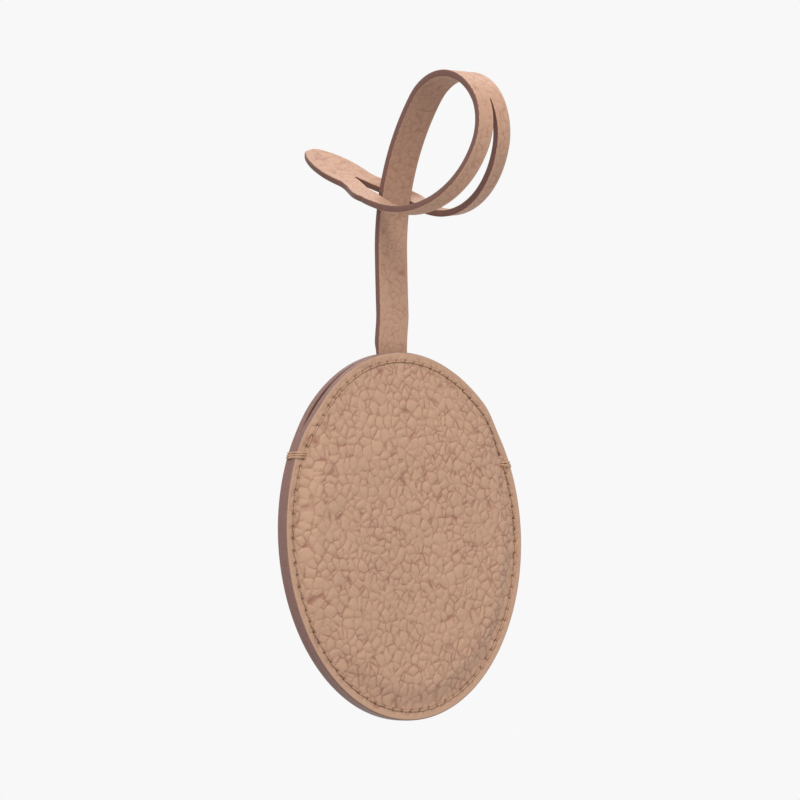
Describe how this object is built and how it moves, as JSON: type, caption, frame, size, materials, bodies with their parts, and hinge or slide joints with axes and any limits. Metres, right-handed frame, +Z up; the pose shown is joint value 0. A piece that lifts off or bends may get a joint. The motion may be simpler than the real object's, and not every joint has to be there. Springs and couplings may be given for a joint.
{
  "type": "bluetooth tracker tag",
  "caption": "Slim oval leather pouch on a slit loop strap; its mouth opens between thread tacks and a flat round radio tracker slides out.",
  "frame": {"origin": "inside top of the strap loop, where the tag hangs from a handle", "axes": "+Z up along the strap, -Y out of the front face of the pouch, +X across the pouch"},
  "size_m": [0.079, 0.0612, 0.1596],
  "materials": {
    "face_leather": "pebbled grain",
    "lining_leather": "smooth lining",
    "strap_leather": "pebbled grain, painted edges",
    "thread": "waxed thread",
    "shell_plastic": "satin",
    "button_plastic": "satin",
    "steel": "brushed",
    "cell_steel": "brushed",
    "gold_plate": "plated",
    "board": "solder mask",
    "chip": "moulded",
    "ceramic": "fired ceramic",
    "copper": "copper foil"
  },
  "bodies": {
    "strap": {"strap_outer_ply": "strap_leather", "strap_inner_ply": "strap_leather"},
    "pouch": {"front_panel": "face_leather", "front_lining": "lining_leather", "back_panel": "face_leather", "back_lining": "lining_leather", "strap_anchor": "strap_leather", "seam_stitches_front": "thread", "seam_stitches_back": "thread", "back_rim_stitches": "thread", "bartack_left": "thread", "bartack_right": "thread"},
    "flap": {"mouth_flap": "face_leather", "mouth_flap_lining": "lining_leather", "flap_stitches": "thread"},
    "tracker": {"tracker_front_shell": "shell_plastic", "tracker_back_shell": "shell_plastic", "coin_cell": "cell_steel", "contact_negative": "gold_plate", "contact_positive": "gold_plate", "circuit_board": "board", "radio_chip": "chip", "timing_crystal": "ceramic", "shield_can": "steel", "antenna": "ceramic", "sounder_disc": "gold_plate", "loop_antenna": "copper", "dome_switch": "steel"},
    "cover": {"battery_cover": "steel"},
    "button": {"pairing_button": "button_plastic"}
  },
  "joints": [
    {"name": "pouch_swing", "type": "hinge", "parent": "strap", "child": "pouch", "pos_m": [0, 0.0259, -0.06452], "axis": [1, 0, 0], "range_deg": [0, 105]},
    {"name": "tracker_slide", "type": "slide", "parent": "pouch", "child": "tracker", "axis": [0, 0, 1], "range_m": [0, 0.049]},
    {"name": "mouth_open", "type": "hinge", "parent": "pouch", "child": "flap", "pos_m": [0, 0.02072, -0.09272], "axis": [1, 0, 0], "range_deg": [0, 16.5]},
    {"name": "cover_turn", "type": "hinge", "parent": "tracker", "child": "cover", "pos_m": [0, 0.0236, -0.12972], "axis": [0, 1, 0], "range_deg": [0, 25]},
    {"name": "button_press", "type": "slide", "parent": "tracker", "child": "button", "axis": [0, 1, 0], "range_m": [0, 0.0001], "stiffness_N_per_m": 900}
  ],
  "couplings": [
    {"joint": "mouth_open", "follows": "tracker_slide", "rad_per_m": 5.8}
  ]
}
